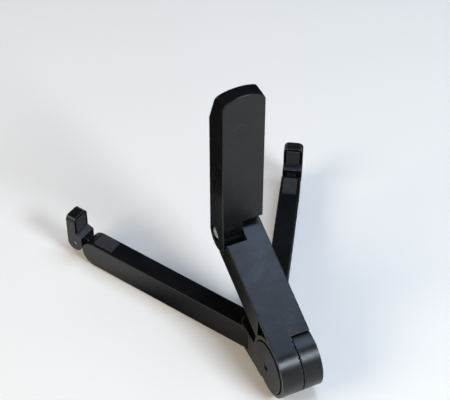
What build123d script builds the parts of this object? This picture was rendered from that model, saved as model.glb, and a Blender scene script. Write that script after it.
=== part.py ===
from build123d import *
import math
import os

# Folding tablet stand: a base with two spread legs, an arm that pitches on a toothed hub, and a
# head that folds on the arm's elbow. Millimetres. +Z is up, +Y is towards the hub, and -Y is the
# side where the tablet stands. The origin is on the table, at the middle of the base's foot.

# ---- overall sizes ----
BODY_WIDTH = 25.6  # hub, arm and head, side to side
HUB_RADIUS = 19.0  # both barrels
ARM_LENGTH = 85.0  # hub axis to elbow axis
HEAD_LENGTH = 110.8  # elbow axis to the crown of the head
HEAD_THICKNESS = 18.0
LEG_LENGTH = 126.3  # leg pivot to the leg's round end
LEG_SETBACK = 34.7  # hub axis to the leg pivots

# ---- the pose it is built in ----
ARM_PITCH = 23.9  # arm above horizontal
LEG_SPREAD = 30.3  # left leg, out from the middle
RIGHT_LEG_SPREAD = 32.0  # right leg, opened a little further

# ---- clearances ----
FACE_GAP = 0.3  # between bodies that slide past each other
RUN_FIT = 0.05  # radial, a pin in its running bore
SLIDE_GAP = 0.1  # flat faces either side of an eye
EDGE_ROUND = 0.6  # moulded outer edges

# ---- levels ----
FOOT_PROUD = 0.6  # rubber feet below the plastic
HUB_Z = FOOT_PROUD + HUB_RADIUS
HALF_WIDTH = BODY_WIDTH / 2
LEG_TOP = HUB_Z - FACE_GAP
ARM_BOTTOM = FACE_GAP  # above the hub axis, square to the arm
SHELL_WALL = 2.2

# ---- hub ----
TOOTH_COUNT = 60
TOOTH_DEPTH = 0.76
TOOTH_LIFT = 0.3  # tips of one side clear tips of the other
TOOTH_WIDTH = 2.6  # radial
SEAM_X = -0.65  # halfway between the two sets of tips
WEB_THICKNESS = 4.0
WEB_SETBACK = 0.5  # behind the roots of the teeth
BARREL_RIM = 2.2  # wall round the mouth that a cap sits in
CUP_STEP = 1.8  # the cup behind is this much smaller in radius
CAP_GAP = 0.8  # dark ring round a cap
CAP_EDGE = 2.4
CAP_PROUD = 0.6
CAP_CROWN = 1.2
CAP_CROWN_MIDWAY = 0.912  # above the rim, halfway out
CAP_SKIRT = 3.0
CAP_WALL = 1.6
CAP_SQUARE = 4.0
HUB_BOLT_RADIUS = 3.0
HUB_BOLT_HEAD = 10.0  # across flats
HUB_BOLT_HEAD_HEIGHT = 4.0
HUB_BUSH_RADIUS = 4.6
HUB_WASHER_RADIUS = 7.0
HUB_WASHER_THICKNESS = 0.8
SPRING_WASHER_COUNT = 2
SPRING_WASHER_THICKNESS = 0.6
SPRING_WASHER_RISE = 0.5
HUB_NUT_HEIGHT = 2.0

# ---- elbow ----
ELBOW_TO_FACE = 6.0  # elbow axis to the arm's underside and to the head's front
ELBOW_SPLIT_X = 0.1  # middle of the gap between tongue and ear
ELBOW_GAP = 0.6
TONGUE_CLEAR = 0.4  # tongue's widest reach to the end of the arm's body
ARM_LIP_REACH = 3.8  # the body's underside runs this far past its end, under the tongue
ARM_LIP_MIDDLE = (1.5, 3.0)  # past the body's end, and above the underside
ARM_LIP_HEIGHT = 6.2
EAR_LEAN = 2.9  # ear's top edge, short of the elbow axis
EAR_CLEAR = 3.0  # ear's top edge to the head's right half
TONGUE_DROP = 8.5  # tongue's round end, past the elbow axis
TONGUE_LOW_BACK = 1.0  # that end, behind the elbow axis
TONGUE_BACK_START = 5.5  # tongue's back face starts this far past the elbow axis
ELBOW_BOLT_RADIUS = 2.5
ELBOW_HEAD_RADIUS = 4.2
ELBOW_HEAD_HEIGHT = 2.4
ELBOW_HEAD_ROUND = 1.44
ELBOW_SOCKET = 3.0  # across flats
ELBOW_SOCKET_DEPTH = 1.44
ELBOW_RECESS_RADIUS = 5.4
ELBOW_RECESS_DEPTH = 4.0
ELBOW_NUT_WIDTH = 8.0
ELBOW_NUT_HEIGHT = 3.2
ELBOW_WASHER_THICKNESS = 0.8
FRICTION_DISC_RADIUS = 5.4
TONGUE_BUSH_RADIUS = 3.6

# ---- arm body ----
STEP_START = 8.5  # arm's right half starts this far along from the hub axis
ARM_CAVITY_START = 25.0
ARM_END_WALL = 5.4  # past the cavity
COVER_THICKNESS = 2.0
COVER_FIT = 0.05
COVER_LEDGE = 1.5  # cover past its cavity, at each end
COVER_RIM = 1.3  # shell wall outside the cover
SCREW_RADIUS = 1.2
SCREW_HEAD_RADIUS = 2.2
SCREW_HEAD_HEIGHT = 1.0
SCREW_SLOT = 0.7  # cross recess width
SCREW_SLOT_LENGTH = 2.64
SCREW_SLOT_DEPTH = 0.6
SCREW_LENGTH = 7.0
BOSS_RADIUS = 3.0
POCKET_DEPTH = 4.0
POCKET_RIM = 2.2
POCKET_START = 24.6  # from the hub axis

# ---- head ----
CROWN_RADIUS = 22.0
CORNER_RADIUS = 5.5
LEAN_ANGLE = 21.5  # the tablet, back from upright
SLOPE_LENGTH = 22.8  # sloped top of the front, below the crown
HEAD_PAD_THICKNESS = 1.6
HEAD_PAD_PROUD = 0.6
HEAD_PAD_MARGIN = 2.4
HEAD_END_WALL = 6.0  # below the cavity
HEAD_SLOPE_WALL = 4.0  # between the cavity and the slope
HEAD_COVER_RECESS = 2.2  # front cover lies below the rim, clear of the leg pads when folded
HEAD_RIM = 1.5

# ---- base ----
CLEVIS_PLATE = 2.6
NOSE_GAP = 0.2  # nose of each clevis inside the body's side
NOSE_END_GAP = 0.5  # round each nose to the leg
SEAT_END = 9.0  # base block's lower lip, in front of the hub axis
PLATE_END = 14.0  # bottom plate, in front of the hub axis
LEG_PIN_RADIUS = 2.0
LEG_PIN_SEAT = 1.4
FOOT_WIDTH = 18.0
FOOT_BACK_MARGIN = 0.5  # from the plate's end
FOOT_FRONT_MARGIN = 3.2  # from the leg pivots
FOOT_RECESS = 1.0
PLATE_SCREW_X = 6.0
FOOT_LENGTH = LEG_SETBACK - PLATE_END - FOOT_BACK_MARGIN - FOOT_FRONT_MARGIN
HUB_Y = PLATE_END + FOOT_BACK_MARGIN + FOOT_LENGTH / 2

# ---- legs ----
LEG_SIDE_GAP = 0.15  # each leg inside its half of the width
LEG_EDGE_ROUND = 0.4
LEG_WALL = 1.8
LEG_COVER_THICKNESS = 1.6
LEG_COVER_RIM = 1.1
LEG_CAVITY_START = 14.0
LEG_END_WALL = 28.3  # from the cavity to the leg's end
LEG_TONGUE_WIDTH = 5.0
LEG_TONGUE_RADIUS = 5.0
HOOK_PIN_REACH = 6.0  # past the leg's end
HOOK_PIN_Z = 12.0
HOOK_PIN_RADIUS = 1.5
HOOK_RADIUS = 5.4
HOOK_HEIGHT = 22.0  # above its pin
HOOK_STEP_RISE = 1.0  # lip's slope ends this far above the leg
HOOK_LIP_SETBACK = 4.4  # lip behind the hook's lower part, which meets the leg
HOOK_CORNER_RADIUS = 3.5
HOOK_FACE_PROUD = 0.6
HOOK_FACE_THICKNESS = 1.6
HOOK_FACE_MARGIN = 2.0
REST_PAD_SETBACK = 22.3  # from the leg's end
REST_PAD_LENGTH = 13.0
REST_PAD_WIDTH = 8.8
REST_PAD_PROUD = 2.2
REST_PAD_RECESS = 1.0
TIP_FOOT_SETBACK = 25.3  # from the leg's end
TIP_FOOT_LENGTH = 14.0
TIP_FOOT_WIDTH = 8.0

os.makedirs("parts", exist_ok=True)


def save(piece, name):
    """Label a finished piece and write it."""
    piece.part.label = name
    export_step(piece.part, "parts/" + name + ".step")


def across(x, y, z, pitch=0.0):
    """A plane square to X: its own X runs forward at a pitch, its own Y up, its normal to -X."""
    forward = (0, -math.cos(math.radians(pitch)), math.sin(math.radians(pitch)))
    return Plane(origin=(x, y, z), x_dir=forward, z_dir=(-1, 0, 0))


def along_arm(distance, height=0.0):
    """The Y and Z of a point on the arm, from the hub axis."""
    angle = math.radians(ARM_PITCH)
    y = HUB_Y - distance * math.cos(angle) + height * math.sin(angle)
    z = HUB_Z + distance * math.sin(angle) + height * math.cos(angle)
    return y, z


ARM_TOP = HUB_RADIUS  # above the hub axis, square to the arm
ELBOW_HEIGHT = ARM_BOTTOM + ELBOW_TO_FACE
ELBOW_Y, ELBOW_Z = along_arm(ARM_LENGTH, ELBOW_HEIGHT)
PIVOT_X = HALF_WIDTH / 2
PIVOT_Y = HUB_Y - LEG_SETBACK


def hub_plane(x):
    return across(x, HUB_Y, HUB_Z)


def arm_plane(x):
    return across(x, HUB_Y, HUB_Z, ARM_PITCH)


def head_plane(x):
    """Square to X at the elbow: its own X runs up the head, its own Y to the back."""
    return Plane(origin=(x, ELBOW_Y, ELBOW_Z), x_dir=(0, 0, 1), z_dir=(-1, 0, 0))


def inward(side, y=HUB_Y, z=HUB_Z):
    """The body's outer side at +X (side 1) or -X (side -1), looking in."""
    return Plane(origin=(side * HALF_WIDTH, y, z), x_dir=(0, 1, 0), z_dir=(-side, 0, 0))


def drilled(plane, radius, depth, mode=Mode.SUBTRACT):
    """A round hole, or with another mode a round bar, from a plane along its normal."""
    with BuildSketch(plane) as round_face:
        Circle(radius)
    extrude(round_face.sketch, amount=depth, mode=mode)


# ---------------------------------------------------------------- hub teeth and caps

MOUTH_RADIUS = HUB_RADIUS - BARREL_RIM
CAP_RADIUS = MOUTH_RADIUS - CAP_GAP
CUP_RADIUS = MOUTH_RADIUS - CUP_STEP
TOOTH_INNER_RADIUS = HUB_RADIUS - TOOTH_WIDTH
ARM_TIPS_X = SEAM_X + TOOTH_LIFT / 2
BASE_TIPS_X = SEAM_X - TOOTH_LIFT / 2
RECESS_DEPTH = TOOTH_DEPTH + WEB_SETBACK


def tooth_grooves(tip_x, side, turn):
    """Radial V grooves round the hub axis, cut from the plane of the tips. side is +1 towards +X."""
    half_pitch = math.pi * HUB_RADIUS / TOOTH_COUNT
    spare = 0.2
    widened = half_pitch * (TOOTH_DEPTH + spare) / TOOTH_DEPTH
    inner = TOOTH_INNER_RADIUS - 1.0
    outer = HUB_RADIUS + 1.0
    with BuildPart() as groove:
        with BuildSketch(Plane((tip_x, HUB_Y - inner, HUB_Z), x_dir=(0, 0, -side), z_dir=(0, -1, 0))):
            Polygon((-widened, -spare), (widened, -spare), (0, TOOTH_DEPTH), align=None)
        extrude(amount=outer - inner)
    axis = Axis((0, HUB_Y, HUB_Z), (1, 0, 0))
    pitch = 360 / TOOTH_COUNT
    return [groove.part.rotate(axis, turn + k * pitch) for k in range(TOOTH_COUNT)]


def cup(plane, depth):
    """Hollow a barrel from its outer end: a mouth for the cap, then the cup behind it."""
    drilled(plane, MOUTH_RADIUS, CAP_EDGE)
    drilled(plane, CUP_RADIUS, depth)


def hub_cap(side):
    """A domed disc with a plug behind it and a square hole through its middle."""
    outward = Plane((side * (HALF_WIDTH - CAP_EDGE), HUB_Y, HUB_Z), x_dir=(0, 1, 0), z_dir=(side, 0, 0))
    rim = CAP_EDGE + CAP_PROUD
    with BuildPart() as cap:
        with BuildSketch(Plane(outward.origin, x_dir=(0, 0, 1), z_dir=(0, side, 0))):
            with BuildLine():
                top = (0, rim + CAP_CROWN)
                Polyline(top, (0, 0), (CAP_RADIUS, 0), (CAP_RADIUS, rim))
                ThreePointArc((CAP_RADIUS, rim), (CAP_RADIUS / 2, rim + CAP_CROWN_MIDWAY), top)
            make_face()
        revolve(axis=Axis((0, HUB_Y, HUB_Z), (1, 0, 0)))
        with BuildSketch(outward):
            Circle(CUP_RADIUS)
            Circle(CUP_RADIUS - CAP_WALL, mode=Mode.SUBTRACT)
        extrude(amount=-CAP_SKIRT)
        with BuildSketch(outward):
            Rectangle(CAP_SQUARE, CAP_SQUARE)
        extrude(amount=rim + CAP_CROWN + 1, mode=Mode.SUBTRACT)
    return cap


def hub_caps():
    save(hub_cap(1), "left_hub_cap")
    save(hub_cap(-1), "right_hub_cap")


# ---------------------------------------------------------------- base

BLOCK_FRONT = LEG_SETBACK - HALF_WIDTH / 2 - NOSE_GAP
NOSE_RADIUS = HALF_WIDTH / 2 - NOSE_GAP
BASE_WEB_X = BASE_TIPS_X - RECESS_DEPTH
ARM_WEB_X = ARM_TIPS_X + RECESS_DEPTH
EYE_BOTTOM = FOOT_PROUD + CLEVIS_PLATE
EYE_TOP = LEG_TOP - CLEVIS_PLATE
PIVOTS = [(-PIVOT_X, PIVOT_Y), (PIVOT_X, PIVOT_Y)]


def nose_outline(back_y):
    """Plan of a clevis plate: a round nose over each pivot, running back to a straight edge."""
    with Locations(*PIVOTS):
        Circle(NOSE_RADIUS)
    width = 2 * (PIVOT_X + NOSE_RADIUS)
    with Locations((0, (PIVOT_Y + back_y) / 2)):
        Rectangle(width, back_y - PIVOT_Y)


def base_frame():
    bottom = FOOT_PROUD - HUB_Z
    with BuildPart() as frame:
        with BuildSketch(hub_plane(HALF_WIDTH)):
            top = LEG_TOP - HUB_Z
            corners = [(SEAT_END, bottom), (BLOCK_FRONT, bottom), (BLOCK_FRONT, top), (SEAT_END, top)]
            Polygon(*corners, align=None)
        extrude(amount=BODY_WIDTH)
        fillet(frame.edges().filter_by(Axis.Z).group_by(Axis.Y)[0], EDGE_ROUND)
        drilled(hub_plane(HALF_WIDTH), HUB_RADIUS + FACE_GAP, HALF_WIDTH - BASE_TIPS_X)
        drilled(hub_plane(BASE_TIPS_X), HUB_RADIUS, HALF_WIDTH + BASE_TIPS_X, Mode.ADD)
        with BuildSketch(hub_plane(BASE_TIPS_X)):
            Polygon((0, bottom), (BLOCK_FRONT - 1, bottom), (BLOCK_FRONT - 1, top), (0, top), align=None)
            Circle(HUB_RADIUS, mode=Mode.SUBTRACT)
            with Locations((SEAT_END / 2, bottom / 2)):
                Rectangle(SEAT_END, -bottom, mode=Mode.SUBTRACT)
        extrude(amount=HALF_WIDTH + BASE_TIPS_X)
        with BuildSketch(Plane.XY.offset(EYE_TOP)):
            nose_outline(HUB_Y - BLOCK_FRONT + 1)
        extrude(amount=CLEVIS_PLATE)
        plate_depth = BLOCK_FRONT - PLATE_END
        with BuildSketch(Plane.XY.offset(FOOT_PROUD)):
            with Locations((0, HUB_Y - PLATE_END - plate_depth / 2)):
                Rectangle(BODY_WIDTH + 2, plate_depth)
        extrude(amount=CLEVIS_PLATE, mode=Mode.SUBTRACT)
        drilled(hub_plane(BASE_TIPS_X + 1), TOOTH_INNER_RADIUS, RECESS_DEPTH + 1)
        cup(inward(-1), HALF_WIDTH + BASE_WEB_X - WEB_THICKNESS)
        drilled(hub_plane(0), HUB_BOLT_RADIUS, HALF_WIDTH)
        with BuildSketch(Plane.XY.offset(EYE_TOP)):
            with Locations(*PIVOTS):
                Circle(LEG_PIN_RADIUS)
        extrude(amount=LEG_PIN_SEAT, mode=Mode.SUBTRACT)
        with BuildSketch(Plane.XY.offset(EYE_BOTTOM)):
            with Locations(*[(place.origin.X, place.origin.Y) for place in plate_screw_planes()]):
                Circle(SCREW_RADIUS)
        extrude(amount=SCREW_LENGTH - CLEVIS_PLATE + FOOT_RECESS, mode=Mode.SUBTRACT)
        add(tooth_grooves(BASE_TIPS_X, -1, 0.0), mode=Mode.SUBTRACT)
    save(frame, "base_frame")


def plate_screw_planes():
    level = FOOT_PROUD + FOOT_RECESS
    middle = HUB_Y - (BLOCK_FRONT + PLATE_END) / 2
    return [Plane((side * PLATE_SCREW_X, middle, level)) for side in (-1, 1)]


def base_plate():
    with BuildPart() as plate:
        with BuildSketch(Plane.XY.offset(FOOT_PROUD)):
            nose_outline(HUB_Y - PLATE_END)
        extrude(amount=CLEVIS_PLATE)
        with BuildSketch(Plane.XY.offset(EYE_BOTTOM)):
            with Locations(*PIVOTS):
                Circle(LEG_PIN_RADIUS)
        extrude(amount=-LEG_PIN_SEAT, mode=Mode.SUBTRACT)
        with BuildSketch(Plane.XY.offset(FOOT_PROUD)):
            Rectangle(FOOT_WIDTH, FOOT_LENGTH)
        extrude(amount=FOOT_RECESS, mode=Mode.SUBTRACT)
        for place in plate_screw_planes():
            drilled(place, SCREW_RADIUS, CLEVIS_PLATE)
            drilled(place, SCREW_HEAD_RADIUS, SCREW_HEAD_HEIGHT)
    save(plate, "base_plate")


def cross_recess(place):
    with BuildSketch(place) as cross:
        Rectangle(SCREW_SLOT_LENGTH, SCREW_SLOT)
        Rectangle(SCREW_SLOT, SCREW_SLOT_LENGTH)
    extrude(cross.sketch, amount=SCREW_SLOT_DEPTH, mode=Mode.SUBTRACT)


def screws(planes, name):
    """Pan-head screws with a cross recess. Each plane lies on a head and looks along the shank."""
    with BuildPart() as group:
        for place in planes:
            drilled(place, SCREW_HEAD_RADIUS, SCREW_HEAD_HEIGHT, Mode.ADD)
            drilled(place, SCREW_RADIUS, SCREW_LENGTH, Mode.ADD)
            cross_recess(place)
    save(group, name)


def base_foot():
    with BuildPart() as foot:
        with BuildSketch():
            Rectangle(FOOT_WIDTH, FOOT_LENGTH)
        extrude(amount=FOOT_PROUD + FOOT_RECESS)
    save(foot, "base_foot")


def leg_pins():
    for side, name in ((1, "left_leg_pin"), (-1, "right_leg_pin")):
        with BuildPart() as pin:
            with BuildSketch(Plane.XY.offset(EYE_BOTTOM - LEG_PIN_SEAT)):
                with Locations((side * PIVOT_X, PIVOT_Y)):
                    Circle(LEG_PIN_RADIUS)
            extrude(amount=EYE_TOP - EYE_BOTTOM + 2 * LEG_PIN_SEAT)
        save(pin, name)


def hub_fasteners():
    """Bolt from the right; washer, spring washers and nut on the left. All turn with the base."""
    washer_x = ARM_WEB_X + WEB_THICKNESS + SLIDE_GAP
    spring_x = washer_x + HUB_WASHER_THICKNESS
    spring_pitch = SPRING_WASHER_THICKNESS + SPRING_WASHER_RISE
    nut_x = spring_x + SPRING_WASHER_COUNT * spring_pitch
    head_x = BASE_WEB_X - WEB_THICKNESS
    with BuildPart() as bolt:
        with BuildSketch(hub_plane(head_x)):
            RegularPolygon(HUB_BOLT_HEAD / 2, 6, major_radius=False)
        extrude(amount=HUB_BOLT_HEAD_HEIGHT)
        drilled(hub_plane(nut_x + HUB_NUT_HEIGHT), HUB_BOLT_RADIUS, nut_x + HUB_NUT_HEIGHT - head_x, Mode.ADD)
    save(bolt, "hub_bolt")
    with BuildPart() as washer:
        with BuildSketch(hub_plane(spring_x)):
            Circle(HUB_WASHER_RADIUS)
            Circle(HUB_BOLT_RADIUS, mode=Mode.SUBTRACT)
        extrude(amount=HUB_WASHER_THICKNESS)
    save(washer, "hub_washer")
    with BuildPart() as springs:
        with BuildSketch(Plane((0, HUB_Y, HUB_Z), x_dir=(1, 0, 0), z_dir=(0, -1, 0))):
            for k in range(SPRING_WASHER_COUNT):
                x = spring_x + k * spring_pitch
                inner = HUB_BOLT_RADIUS + 2 * RUN_FIT
                lean = SPRING_WASHER_RISE if k % 2 else 0
                other = SPRING_WASHER_RISE - lean
                t = SPRING_WASHER_THICKNESS
                rim = HUB_WASHER_RADIUS
                right = [(x + lean, inner), (x + other, rim)]
                Polygon(*right, (x + other + t, rim), (x + lean + t, inner), align=None)
        revolve(axis=Axis((0, HUB_Y, HUB_Z), (1, 0, 0)))
    save(springs, "hub_spring_washers")
    with BuildPart() as nut:
        with BuildSketch(hub_plane(nut_x + HUB_NUT_HEIGHT)):
            RegularPolygon(HUB_BOLT_HEAD / 2, 6, major_radius=False)
            Circle(HUB_BOLT_RADIUS, mode=Mode.SUBTRACT)
        extrude(amount=HUB_NUT_HEIGHT)
    save(nut, "hub_nut")


# ---------------------------------------------------------------- arm

HEAD_FRONT = -ELBOW_TO_FACE  # from the elbow axis, towards the back
HEAD_BACK = HEAD_THICKNESS - ELBOW_TO_FACE
ARM_BODY_END = ARM_LENGTH - math.hypot(TONGUE_BACK_START, HEAD_BACK) - TONGUE_CLEAR
ARM_CAVITY_END = ARM_BODY_END - ARM_END_WALL
EAR_X = ELBOW_SPLIT_X - ELBOW_GAP / 2
TONGUE_X = ELBOW_SPLIT_X + ELBOW_GAP / 2
ARM_CEILING = ARM_TOP - SHELL_WALL
ARM_SCREW_AT = [ARM_CAVITY_START + BOSS_RADIUS + 1, ARM_CAVITY_END - BOSS_RADIUS - 1]


def ear_tangent():
    """Where the ear's leaning end meets its round nose."""
    lean = math.hypot(EAR_LEAN, ARM_TOP - ELBOW_HEIGHT)
    angle = math.atan2(ARM_TOP - ELBOW_HEIGHT, -EAR_LEAN) - math.acos(ELBOW_TO_FACE / lean)
    return ARM_LENGTH + ELBOW_TO_FACE * math.cos(angle), ELBOW_HEIGHT + ELBOW_TO_FACE * math.sin(angle)


def arm_underside(z_offset=ARM_BOTTOM):
    """On the arm's underside, looking into the arm: its X runs along the arm, its Y towards -X."""
    y, z = along_arm(0, z_offset)
    angle = math.radians(ARM_PITCH)
    up = (0, math.sin(angle), math.cos(angle))
    return Plane(origin=(0, y, z), x_dir=(0, -math.cos(angle), math.sin(angle)), z_dir=up)


def arm_cavity(start, end, half_width, low, high, mode):
    with BuildSketch(arm_underside(low)) as plan:
        with Locations(((start + end) / 2, 0)):
            Rectangle(end - start, 2 * half_width)
    extrude(plan.sketch, amount=high - low, mode=mode)


def arm_direction():
    angle = math.radians(ARM_PITCH)
    return Axis((0, 0, 0), (0, -math.cos(angle), math.sin(angle)))


def arm_screw_planes():
    """On the cover's underside, one boss in from each end of the cavity."""
    planes = []
    for at in ARM_SCREW_AT:
        base = arm_underside()
        planes.append(Plane(base.origin + base.x_dir * at, x_dir=base.x_dir, z_dir=base.z_dir))
    return planes


def side_pocket():
    """The opening in the arm's left side between its back wall and the barrel."""
    ceiling = ARM_TOP - POCKET_RIM
    with BuildSketch(arm_plane(HALF_WIDTH)) as pocket:
        floor = ARM_BOTTOM + 1
        Polygon((0, ceiling), (POCKET_START, ceiling), (HUB_RADIUS - 1, floor), (0, floor), align=None)
        Circle(HUB_RADIUS + FACE_GAP, mode=Mode.SUBTRACT)
    extrude(pocket.sketch, amount=POCKET_DEPTH, mode=Mode.SUBTRACT)


def arm_end():
    """Side view of the body's end on the left: upright at its back, with a lip under the tongue."""
    middle_reach, middle_height = ARM_LIP_MIDDLE
    lip = (ARM_BODY_END + ARM_LIP_REACH, ARM_BOTTOM)
    middle = (ARM_BODY_END + middle_reach, ARM_BOTTOM + middle_height)
    return [lip, middle, (ARM_BODY_END, ARM_BOTTOM + ARM_LIP_HEIGHT), (ARM_BODY_END, ARM_TOP)]


def arm_end_edges(shell):
    """The back wall's ends: over the tongue, over the ear and at the step over the right barrel."""
    ends = []
    for distance in (ARM_BODY_END, ARM_LENGTH - EAR_LEAN, STEP_START):
        corner = along_arm(distance, ARM_TOP)
        for edge in shell.edges().filter_by(Axis.X):
            if math.dist((edge.center().Y, edge.center().Z), corner) < 0.01:
                ends.append(edge)
    return ends


def arm_shell():
    with BuildPart() as shell:
        with BuildSketch(arm_plane(HALF_WIDTH)):
            Polygon((0, ARM_BOTTOM), *arm_end(), (0, ARM_TOP), align=None)
        extrude(amount=BODY_WIDTH)
        with BuildSketch(arm_plane(ARM_TIPS_X)):
            Circle(HUB_RADIUS + FACE_GAP)
            with Locations((STEP_START / 2 - ARM_TOP / 2, ARM_TOP / 2)):
                Rectangle(STEP_START + ARM_TOP, ARM_TOP + 2)
        extrude(amount=HALF_WIDTH + ARM_TIPS_X, mode=Mode.SUBTRACT)
        with BuildSketch(arm_plane(EAR_X)):
            back = ARM_BODY_END - 1
            lean_top = (ARM_LENGTH - EAR_LEAN, ARM_TOP)
            nose = (ARM_LENGTH, ARM_BOTTOM)
            Polygon((back, ARM_BOTTOM), nose, ear_tangent(), lean_top, (back, ARM_TOP), align=None)
            with Locations((ARM_LENGTH, ELBOW_HEIGHT)):
                Circle(ELBOW_TO_FACE)
        extrude(amount=HALF_WIDTH + EAR_X)
        half = HALF_WIDTH - SHELL_WALL
        arm_cavity(ARM_CAVITY_START, ARM_CAVITY_END, half, ARM_BOTTOM, ARM_CEILING, Mode.SUBTRACT)
        for place in arm_screw_planes():
            drilled(place, BOSS_RADIUS, ARM_CEILING - ARM_BOTTOM + 1, Mode.ADD)
        along = shell.edges().filter_by(arm_direction())
        side_edges = [edge for edge in along if abs(abs(edge.center().X) - HALF_WIDTH) < 0.01]
        fillet(side_edges + arm_end_edges(shell), EDGE_ROUND)
        drilled(hub_plane(HALF_WIDTH), HUB_RADIUS, HALF_WIDTH - ARM_TIPS_X, Mode.ADD)
        arm_cavity(
            ARM_CAVITY_START - COVER_LEDGE, ARM_CAVITY_END + COVER_LEDGE, HALF_WIDTH - COVER_RIM,
            ARM_BOTTOM, ARM_BOTTOM + COVER_THICKNESS, Mode.SUBTRACT,
        )
        for place in arm_screw_planes():
            drilled(place, SCREW_RADIUS, SCREW_LENGTH)
        side_pocket()
        recess = Plane(origin=(ARM_TIPS_X - 1, HUB_Y, HUB_Z), x_dir=(0, 1, 0), z_dir=(1, 0, 0))
        drilled(recess, TOOTH_INNER_RADIUS, RECESS_DEPTH + 1)
        cup(inward(1), HALF_WIDTH - ARM_WEB_X - WEB_THICKNESS)
        drilled(hub_plane(HALF_WIDTH), HUB_BUSH_RADIUS, HALF_WIDTH - ARM_TIPS_X)
        drilled(inward(-1, ELBOW_Y, ELBOW_Z), ELBOW_BOLT_RADIUS, HALF_WIDTH)
        with BuildSketch(inward(-1, ELBOW_Y, ELBOW_Z)):
            RegularPolygon(ELBOW_NUT_WIDTH / 2, 6, major_radius=False)
        extrude(amount=ELBOW_RECESS_DEPTH, mode=Mode.SUBTRACT)
        add(tooth_grooves(ARM_TIPS_X, 1, 180 / TOOTH_COUNT), mode=Mode.SUBTRACT)
    save(shell, "arm_shell")


def arm_cover():
    with BuildPart() as cover:
        start = ARM_CAVITY_START - COVER_LEDGE + COVER_FIT
        end = ARM_CAVITY_END + COVER_LEDGE - COVER_FIT
        half = HALF_WIDTH - COVER_RIM - COVER_FIT
        arm_cavity(start, end, half, ARM_BOTTOM, ARM_BOTTOM + COVER_THICKNESS, Mode.ADD)
        for place in arm_screw_planes():
            drilled(place, SCREW_RADIUS, COVER_THICKNESS)
            drilled(place, SCREW_HEAD_RADIUS, SCREW_HEAD_HEIGHT)
    save(cover, "arm_cover")


def hub_bush():
    with BuildPart() as bush:
        with BuildSketch(hub_plane(ARM_WEB_X + WEB_THICKNESS)):
            Circle(HUB_BUSH_RADIUS)
            Circle(HUB_BOLT_RADIUS + RUN_FIT, mode=Mode.SUBTRACT)
        extrude(amount=WEB_THICKNESS)
    save(bush, "hub_bush")


def elbow_fasteners():
    """Bolt from the left through the head's tongue into a nut in the arm's ear."""
    floor_x = HALF_WIDTH - ELBOW_RECESS_DEPTH
    washer_x = floor_x + SLIDE_GAP / 2 + ELBOW_WASHER_THICKNESS
    nut_x = -HALF_WIDTH + ELBOW_RECESS_DEPTH

    def at(x):
        return across(x, ELBOW_Y, ELBOW_Z)

    with BuildPart() as bolt:
        drilled(at(washer_x + ELBOW_HEAD_HEIGHT), ELBOW_HEAD_RADIUS, ELBOW_HEAD_HEIGHT, Mode.ADD)
        fillet(bolt.edges().sort_by(Axis.X)[-1], ELBOW_HEAD_ROUND)
        drilled(at(washer_x), ELBOW_BOLT_RADIUS, washer_x - nut_x + ELBOW_NUT_HEIGHT, Mode.ADD)
        with BuildSketch(at(washer_x + ELBOW_HEAD_HEIGHT)):
            RegularPolygon(ELBOW_SOCKET / 2, 6, major_radius=False)
        extrude(amount=ELBOW_SOCKET_DEPTH, mode=Mode.SUBTRACT)
    save(bolt, "elbow_bolt")
    with BuildPart() as washer:
        with BuildSketch(at(washer_x)):
            Circle(ELBOW_RECESS_RADIUS - 2 * FACE_GAP)
            Circle(ELBOW_BOLT_RADIUS, mode=Mode.SUBTRACT)
        extrude(amount=ELBOW_WASHER_THICKNESS)
    save(washer, "elbow_washer")
    with BuildPart() as disc:
        with BuildSketch(at(TONGUE_X - SLIDE_GAP)):
            Circle(FRICTION_DISC_RADIUS)
            Circle(ELBOW_BOLT_RADIUS, mode=Mode.SUBTRACT)
        extrude(amount=ELBOW_GAP - SLIDE_GAP)
    save(disc, "elbow_friction_disc")
    with BuildPart() as nut:
        with BuildSketch(at(nut_x)):
            RegularPolygon(ELBOW_NUT_WIDTH / 2, 6, major_radius=False)
            Circle(ELBOW_BOLT_RADIUS, mode=Mode.SUBTRACT)
        extrude(amount=ELBOW_NUT_HEIGHT)
    save(nut, "elbow_nut")


# ---------------------------------------------------------------- head

HEAD_RIGHT_START = math.hypot(EAR_LEAN, ARM_TOP - ELBOW_HEIGHT) + EAR_CLEAR
SLOPE_START = HEAD_LENGTH - SLOPE_LENGTH
HEAD_CAVITY_START = HEAD_RIGHT_START + HEAD_END_WALL
HEAD_CAVITY_END = SLOPE_START - HEAD_SLOPE_WALL
SLOPE = math.tan(math.radians(LEAN_ANGLE))
FRONT_PANEL = HEAD_FRONT + HEAD_COVER_RECESS
HEAD_SCREW_AT = [HEAD_CAVITY_START + BOSS_RADIUS + 1, HEAD_CAVITY_END - BOSS_RADIUS - 1]


def head_front(depth):
    """Square to Y, this far behind the elbow axis, looking back: its Y is up the head."""
    return Plane(origin=(0, ELBOW_Y + depth, ELBOW_Z), x_dir=(-1, 0, 0), z_dir=(0, 1, 0))


def head_outline(margin=0.0):
    """Front view of the head, from where its right half starts up to its crown."""
    half = HALF_WIDTH - margin
    crown = CROWN_RADIUS - margin
    centre = HEAD_LENGTH - CROWN_RADIUS
    shoulder = centre + math.sqrt(crown**2 - half**2)
    with BuildLine() as outline:
        Polyline((half, shoulder), (half, HEAD_RIGHT_START), (-half, HEAD_RIGHT_START), (-half, shoulder))
        ThreePointArc((-half, shoulder), (0, centre + crown), (half, shoulder))
    make_face(outline.edges())


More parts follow.
